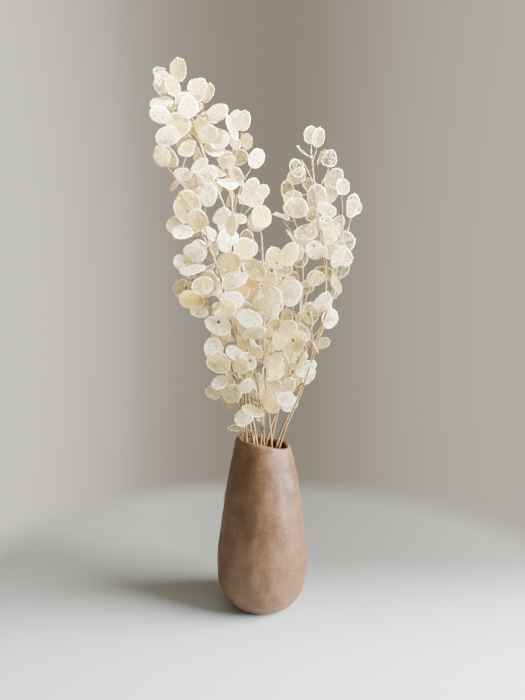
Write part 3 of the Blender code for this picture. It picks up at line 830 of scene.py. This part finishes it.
def straw(w):
    """A dry stem: tan to golden with lengthwise fibres, darker at knots."""
    run = w.named("run", "FLOAT")
    turn = w.named("turn", "FLOAT") * math.tau
    knot = w.named("knot", "FLOAT")
    around = w.vector(turn.math("COSINE") * STRAW_ROUND, turn.math("SINE") * STRAW_ROUND, run * STRAW_ALONG)
    fibres = w.noise(around, 3.0, 3.0, 0.6)
    patches = w.noise(w.place(), STRAW_PATCHES, 3.0, 0.6)
    tone = w.ramp(patches * 0.6 + fibres * 0.4, STRAW_TONES)
    return w.surface(w.blend(knot * 0.6, tone, STRAW_KNOT), w.smooth(fibres, 0.3, 0.7, 0.45, 0.7),
                     {"Normal": w.bump(fibres, *STRAW_BUMP)})


def seed_coat(w):
    """A dull brown seed."""
    grain = w.noise(w.place(), SEED_GRAIN)
    return w.surface(w.ramp(grain, SEED_TONES), 0.6, {"Normal": w.bump(grain, *SEED_BUMP)})


def raw_clay(w):
    """Unglazed brown clay: clouds of tone, flat strokes, grit, small dark pits and a faintly paler rim,
    painted light where the lip catches the lamp.
    """
    place = w.place()
    _, _, z = w.parts(place)
    grit = w.noise(place, GRIT_SCALE, 4.0, 0.7)
    grains = w.node("ShaderNodeTexVoronoi", {"feature": "F1"}, {"Vector": place, "Scale": GRIT_SCALE})
    clouds = w.noise(place, CLOUD_SCALE, 4.0, 0.6)
    strokes = w.noise(w.scaled(place, STROKE_SCALES), 1.4, distortion=0.6)
    tone = w.ramp(clouds * 0.75 + strokes * 0.25, CLAY_TONES)
    gritty = w.blend(w.smooth(grit, 0.45, 0.75, 0.0, 0.4), tone, CLAY_GRIT)
    pitted = w.blend(w.smooth(grains, 0.16, 0.05, 0.0, 0.5), gritty, CLAY_PIT)
    # Painted light on the lip and just below it
    rim = w.smooth(z, *PALE_RIM) * LIT_LIP_SHARE
    height = grit * 0.5 + w.smooth(grains, 0.0, 0.35) * 0.35 + strokes * 0.6 + clouds * 1.6
    return w.surface(w.blend(rim, pitted, CLAY_LIT_LIP), w.smooth(clouds, 0.35, 0.65, 0.4, 0.56), {
        "Normal": w.bump(height, *CLAY_BUMP), "Diffuse Roughness": 0.3, "Specular IOR Level": 0.42})


# The vase


def fine_profile():
    """The vase's profile as in the part's source, rounded between its points."""
    points = [Vector((r, z, 0)) for r, z in vase_profile()]
    inner = len(VASE_OUTLINE)
    wall_in = smooth_path(points[1:inner], VASE_RING_STEPS)
    lip = smooth_path(points[inner - 1:inner + 4], LIP_STEPS)[1:-1]
    wall_out = smooth_path(points[-1 - inner:-1], VASE_RING_STEPS)
    return points[:1] + wall_in + lip + wall_out + points[-1:]


def dented(point):
    """How far a hand's shallow marks push the clay out at a point; none at the foot."""
    place = Vector((point.x, point.y, point.z * DENT_TALLNESS)) / DENT_SIZE
    near, next_near = noise.voronoi(place)[0][:2]
    depth = min(next_near - near, DENT_CREST) + WOBBLE_SHARE * noise.noise(place * WOBBLE_FREQUENCY)
    return DENT_DEPTH * depth * smoothstep(*DENT_HEIGHTS, point.z)


def fine_vase(clay):
    turns = [math.tau * i / VASE_TURNS for i in range(VASE_TURNS)]
    shell = bmesh.new()
    rings = []
    for r, z, _ in fine_profile():
        around = turns if r > AXIS_RADIUS else turns[:1]
        rings.append([shell.verts.new((r * math.cos(t), r * math.sin(t), z)) for t in around])
    for a, b in zip(rings, rings[1:]):
        for i in range(VASE_TURNS):
            j = (i + 1) % VASE_TURNS
            corners = [a[i % len(a)], a[j % len(a)], b[j % len(b)], b[i % len(b)]]
            shell.faces.new(dict.fromkeys(corners))
    for point in shell.verts:
        flat = Vector((point.co.x, point.co.y, 0))
        out = flat.normalized() if flat.length > AXIS_RADIUS else Vector((0, 0, 0))
        moved = hand_formed(*point.co)
        point.co = (moved + out * dented(moved)) * MM
    bmesh.ops.recalc_face_normals(shell, faces=shell.faces)
    mesh = mesh_of(shell, "clay_vase")
    mesh.shade_smooth()
    mesh.set_sharp_from_angle(angle=SHARP_ANGLE)
    mesh.materials.append(clay)
    return put_in_scene("clay_vase", mesh)


# Pods, stems and stalks


def blunt(share):
    """Makes a circle's cosine or sine into that of a fuller, blunter oval."""
    return math.copysign(abs(share) ** POD_FULLNESS, share)


def one_pod():
    """A pod of unit half length and half width: two films that meet in a rim, with a point at its tip."""
    turns = [math.radians(t) for t in RIM_TURNS]
    turns += [-t for t in reversed(turns[1:-1])]
    n = len(turns)
    shape = bmesh.new()
    edge = []
    for turn in turns:
        reach = 1 + (STYLE_REACH if turn == 0 else 0)
        edge.append(shape.verts.new((reach * blunt(math.cos(turn)), blunt(math.sin(turn)), 0)))
    for side in (1, -1):
        rings = [edge] + [[shape.verts.new((rho * blunt(math.cos(t)), rho * blunt(math.sin(t)), side * lift))
                           for t in turns] for rho, lift in RIM_RINGS[1:]]
        centre = shape.verts.new((0, 0, side * RIM_RINGS[-1][1]))
        for outer, inner in zip(rings, rings[1:]):
            for i in range(n):
                j = (i + 1) % n
                shape.faces.new((outer[i], outer[j], inner[j], inner[i]))
        for i in range(n):
            shape.faces.new((rings[-1][i], rings[-1][(i + 1) % n], centre))
    bmesh.ops.recalc_face_normals(shape, faces=shape.faces)
    mesh = mesh_of(shape, "pod_form")
    spots = [(p.co.x, p.co.y, math.copysign(1.0, p.co.z) if p.co.z else 0.0) for p in mesh.vertices]
    carry(mesh, "spot", "FLOAT_VECTOR", spots)
    return bpy.data.objects.new("pod_form", mesh)


def grow_pod_tree():
    """Sets a pod on each point and shapes each in its own way: skewed, cupped, bowed and rippled."""

    def build(w, given):
        form = w.node("GeometryNodeObjectInfo", values={"Object": given.of("Pod")}, output="Geometry")
        real = copies_on_points(w, given, form)
        u, v, _ = w.parts(w.named("spot", "FLOAT_VECTOR"))
        half_length, half_width, _ = w.parts(w.named("half", "FLOAT_VECTOR"))
        skew, cup, bow = w.parts(w.named("shape", "FLOAT_VECTOR"))
        lot = w.named("tint", "FLOAT") * 61 + w.named("clear", "FLOAT") * 17
        waves = w.vector(u * RIPPLE_FREQUENCY + lot, v * RIPPLE_FREQUENCY, lot)
        ripple = w.noise(waves, RIPPLE_SCALE, 1.0) - 0.5
        narrow = v * half_width * (skew * u * -1 - u * u * END_NARROWING)
        lift = half_width * cup * (v * v - CUP_LEVEL) + half_length * bow * (u * u - CUP_LEVEL)
        lift = lift + ripple * given.of("Ripple") * (u * u + v * v + RIPPLE_CENTRE)
        offset = w.node("FunctionNodeRotateVector", values={"Vector": w.vector(0.0, narrow, lift),
                                                           "Rotation": w.named("turned", "QUATERNION")})
        moved = w.node("GeometryNodeSetPosition", values={"Geometry": real, "Offset": offset})
        return finished(w, given, moved)

    return geometry_tree("pods on points", {"Pod": "Object", "Ripple": "Float", "Finish": "Material"}, build)


def grow_rod_tree():
    """Sweeps a ring along each line, as thick as the line says, with a little unevenness."""

    def build(w, given):
        lines = w.node("GeometryNodeMeshToCurve", values={"Mesh": given})
        rounded = w.node("GeometryNodeCurveSplineType", {"spline_type": "CATMULL_ROM"}, {"Curve": lines})
        fine = w.node("GeometryNodeSetSplineResolution", values={
            "Geometry": rounded, "Resolution": given.of("Steps")})
        run = w.node("GeometryNodeStoreNamedAttribute", {"data_type": "FLOAT"}, {
            "Geometry": fine, "Name": "run", "Value": w.node("GeometryNodeSplineParameter", output="Length")})
        ring = w.node("GeometryNodeCurvePrimitiveCircle", values={
            "Resolution": given.of("Sides"), "Radius": 1.0})
        ring = w.node("GeometryNodeStoreNamedAttribute", {"data_type": "FLOAT"}, {
            "Geometry": ring, "Name": "turn", "Value": w.node("GeometryNodeSplineParameter")})
        uneven = w.noise(w.node("GeometryNodeInputPosition"), UNEVENNESS_SCALE, 1.0) - 0.5
        thick = w.named("thick", "FLOAT") * (1 + uneven * given.of("Unevenness"))
        rods = w.node("GeometryNodeCurveToMesh", values={"Curve": run, "Profile Curve": ring, "Scale": thick,
                                                         "Fill Caps": True})
        return finished(w, given, w.node("GeometryNodeRealizeInstances", values={0: rods}))

    return geometry_tree("rods on lines", {"Steps": "Int", "Sides": "Int", "Unevenness": "Float",
                                           "Finish": "Material"}, build)


def quaternion(*axes):
    return tuple(Matrix(axes).transposed().to_quaternion())


def points_mesh(name, places, turns, halves):
    """Points that carry how a copy on each is turned and its half sizes."""
    mesh = bpy.data.meshes.new(name)
    mesh.from_pydata(places, [], [])
    carry(mesh, "turned", "QUATERNION", turns)
    carry(mesh, "half", "FLOAT_VECTOR", halves)
    return mesh


def pods_piece(name, pods, looks, tree, form, film):
    """All pods of one stem, each where the part's source has it."""
    start = points_mesh(name + "_points", [p.middle() * MM for p in pods],
                        [quaternion(p.along, p.across(), p.face) for p in pods],
                        [(p.length / 2 * MM, p.width / 2 * MM, MM) for p in pods])
    carry(start, "shape", "FLOAT_VECTOR", [look.shape for look in looks])
    carry(start, "tint", "FLOAT", [look.tint for look in looks])
    carry(start, "clear", "FLOAT", [look.clear for look in looks])
    return grown(name, start, tree, {"Pod": form, "Ripple": POD_RIPPLE * MM, "Finish": film})


def rods_piece(name, lines, tree, bark):
    """Stem, twigs and stalks of one plant. Each line is a list of (point, radius, knot)."""
    points, edges = [], []
    for line in lines:
        edges += [(len(points) + i, len(points) + i + 1) for i in range(len(line) - 1)]
        points += line
    start = bpy.data.meshes.new(name + "_lines")
    start.from_pydata([p * MM for p, _, _ in points], edges, [])
    carry(start, "thick", "FLOAT", [r * MM for _, r, _ in points])
    carry(start, "knot", "FLOAT", [k for _, _, k in points])
    return grown(name, start, tree, {"Steps": ROD_STEPS, "Sides": ROD_SIDES, "Unevenness": ROD_UNEVENNESS,
                                     "Finish": bark})


Look = namedtuple("Look", "shape tint clear")


def draw_look(rng, pod):
    """How one pod looks: often white on the left arm and at the front, where white pods are bleached and also
    painted light; see-through on the right arm; and golden behind, a painted glow of light passing through the
    bunch.
    """
    middle = pod.middle()
    x, z = seen_from_front(middle)
    right_arm = smoothstep(*RIGHT_ARM[0], x) * smoothstep(*RIGHT_ARM[1], z)
    behind = smoothstep(*BEHIND, middle.y)
    clear = (CLEAR_LEAST + CLEAR_SPREAD * rng.random() ** 1.2
             + CLEAR_RIGHT * right_arm * rng.random() ** 0.5 + CLEAR_BEHIND * behind * rng.random())
    # The shift toward golden at the back is a painted glow of light through the bunch
    tint = (TINT_SPREAD * rng.random() ** 1.5 + TINT_RIGHT * right_arm + GLOW_TINT_BEHIND * behind
            + GOLDEN_TINT * (rng.random() < GOLDEN_SHARE))
    # White, opaque pods: bleached, and painted light at the front; fewer behind as painted shade
    if rng.random() < WHITE_AND_LIT_SHARE + WHITE_SHADED_BEHIND * behind + WHITE_RIGHT * right_arm:
        clear, tint = clear * WHITE_CLEAR, tint * WHITE_TINT
    shape = (rng.uniform(*SKEWS), rng.choice((-1, 1)) * rng.uniform(*CUPS), rng.uniform(*BOWS))
    return Look(shape, min(max(tint, 0.0), 1.0), min(clear, CLEAR_MOST))


def taper(path, radii):
    """A line down a stem or twig, without knots."""
    last = len(path) - 1
    return [(point, radii[0] + (radii[1] - radii[0]) * (i / last), 0.0) for i, point in enumerate(path)]


def stalk_line(pod):
    """A pod's thin stalk from a knot on its twig, arched a little, into the pod's base."""
    end = pod.root + (pod.stalk + STALK_SEAT) * pod.along
    line = []
    for share in STALK_SHARES:
        sag = 4 * share * (1 - share) * STALK_SAG * pod.stalk
        radius = STALK_RADII[0] + (STALK_RADII[1] - STALK_RADII[0]) * share
        swell, knot = (KNOT_SWELL, 1.0) if share == 0 else (1, 0.0)
        line.append((pod.root.lerp(end, share) + sag * pod.across(), radius * swell, knot))
    return line


# Seeds


def miss(pod, x, z):
    """How badly a pod suits a seed seen at this place: it should be near, in front and not edge-on."""
    px, pz = seen_from_front(pod.middle())
    edge_on = EDGE_ON_COST if abs(pod.face.y) < EDGE_ON else 0
    return math.hypot(px - x, pz - z) + edge_on + DEPTH_COST * pod.root.y


def seeded_pods(rng):
    """The pods that keep a seed: the nearest one in front of each seed place, and some anywhere."""
    free = [pod for stem in STEMS for pod in pods[stem.name]]
    chosen = []
    for x, z in SEED_PLACES:
        chosen.append(min(free, key=lambda pod: miss(pod, x, z)))
        free.remove(chosen[-1])
    return chosen + rng.sample(free, MORE_SEEDS)


def grow_seed_tree():
    """Sets a notched seed on each point."""

    def build(w, given):
        ball = w.node("GeometryNodeMeshIcoSphere", values={"Radius": 1.0, "Subdivisions": 2})
        x, y, _ = w.parts(w.node("GeometryNodeInputPosition"))
        away = y - NOTCH_PLACE
        notch = w.smooth((x * x + away * away) ** 0.5, NOTCH_RADIUS, 0.0)
        kidney = w.node("GeometryNodeSetPosition", values={
            "Geometry": ball, "Offset": w.vector(0.0, notch * -NOTCH_DEPTH, 0.0)})
        return finished(w, given, copies_on_points(w, given, kidney))

    return geometry_tree("seeds on points", {"Finish": "Material"}, build)


def seeds_piece(rng, husk):
    """Flat oval seeds, each held in its pod's film near the middle."""
    places, turns, halves = [], [], []
    for pod in seeded_pods(rng):
        across = pod.across()
        place = pod.root + (pod.stalk + pod.length * rng.uniform(*SEED_ALONG)) * pod.along
        places.append((place + rng.uniform(-SEED_ASIDE, SEED_ASIDE) * pod.width * across) * MM)
        turn = Matrix.Rotation(rng.uniform(0, math.pi), 3, pod.face)
        turns.append(quaternion(turn @ pod.along, turn @ across, pod.face))
        size = rng.uniform(*SEED_SIZE) / 2
        halves.append([size * share * MM for share in SEED_SHARES])
    start = points_mesh("seed_points", places, turns, halves)
    return grown("seeds", start, grow_seed_tree(), {"Finish": husk})


# Making everything

paths, twigs, pods = lay_out()
rng = random.Random(LOOKS_SEED)

film = finish("bleached film", membrane)
bark = finish("dry straw", straw)
clay = finish("raw clay", raw_clay)
husk = finish("seed coat", seed_coat)

vase = fine_vase(clay)
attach(vase, "root")
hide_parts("vase")

pod_tree = grow_pod_tree()
rod_tree = grow_rod_tree()
form = one_pod()
for stem in STEMS:
    looks = [draw_look(rng, pod) for pod in pods[stem.name]]
    lines = [taper(paths[stem.name], STEM_RADII)]
    lines += [taper(path, TWIG_FINE_RADII) for path, _ in twigs[stem.name]]
    lines += [stalk_line(pod) for pod in pods[stem.name]]
    pieces = (pods_piece(stem.name + "_pods", pods[stem.name], looks, pod_tree, form, film),
              rods_piece(stem.name + "_stalks", lines, rod_tree, bark))
    for piece in pieces:
        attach(piece, "root")
        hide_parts(stem.name)
bpy.data.objects.remove(form)
seeds = seeds_piece(rng, husk)
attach(seeds, "root")


# Floor, light and camera


def pale_floor(w):
    """A pale table top that darkens away from the front as painted shade, is painted lighter at its far left
    where the bunch's shadow falls, and fades out toward its edge.
    """
    place = w.place()
    x, y, _ = w.parts(place)
    near = w.blend(w.noise(place, TABLE_CLOUDS), *TABLE_TONES)
    # Painted shade at the back of the floor, painted lighter toward the left
    far = w.blend(w.smooth(x, *TABLE_LEFT_LIGHT_RANGE), *TABLE_FAR_SHADE_TONES)
    top = w.surface(w.blend(w.smooth(y, *TABLE_SHADE_RANGE), near, far), 0.55)
    fade = w.smooth((x * x + y * y) ** 0.5, TABLE_FADE, TABLE_RADIUS)
    return w.mixed(fade, top, w.node("ShaderNodeBsdfTransparent"))


def add_floor():
    disc = bmesh.new()
    bmesh.ops.create_circle(disc, cap_ends=True, segments=TABLE_SIDES, radius=TABLE_RADIUS)
    floor = put_in_scene("floor", mesh_of(disc, "floor"))
    floor.data.materials.append(finish("pale floor", pale_floor))


def add_world():
    """A backdrop whose tone changes from left to right, painted light of a window on the room's walls,
    brightest at the left, and an even fill for everything that it lights.
    """
    world = bpy.data.worlds.new("soft room light")
    bpy.context.scene.world = world
    world.use_nodes = True
    world.node_tree.nodes.clear()
    w = Wiring(world.node_tree)
    x, _, _ = w.parts(w.node("ShaderNodeTexCoord", output="Generated"))
    # Painted light on the walls, from left to right
    across = w.ramp(w.smooth(x, -0.5, 0.5), BACKDROP_WALL_LIGHT_TONES, "B_SPLINE")
    seen = w.node("ShaderNodeLightPath", output="Is Camera Ray")
    sky = w.node("ShaderNodeBackground", values={
        "Color": w.blend(seen, FILL, across), "Strength": ROOM_STRENGTH})
    w.node("ShaderNodeOutputWorld", values={"Surface": sky})


def add_light(lamp):
    data = bpy.data.lights.new(lamp.name, "AREA")
    data.shape = "DISK"
    data.size = lamp.size
    data.energy = lamp.power
    data.color = lamp.colour
    data.spread = math.radians(lamp.spread)
    light = put_in_scene(lamp.name, data)
    light.location = lamp.place
    light.rotation_euler = (Vector(lamp.target) - Vector(lamp.place)).to_track_quat("-Z", "Y").to_euler()
    light.visible_camera = False


def add_camera():
    """Level, at the photograph's height and distance: the picture is shifted instead of a tilt."""
    lens = bpy.data.cameras.new("camera")
    lens.lens = LENS
    lens.sensor_width = SENSOR_WIDTH
    lens.shift_y = SHIFT_UP
    lens.clip_start, lens.clip_end = CLIP_RANGE
    camera = put_in_scene("camera", lens)
    camera.location = (0, -VIEW_DISTANCE * MM, VIEW_HEIGHT * MM)
    camera.rotation_euler = (math.pi / 2, 0, 0)
    bpy.context.scene.camera = camera


add_floor()
add_world()
for lamp in LAMPS:
    add_light(lamp)
add_camera()
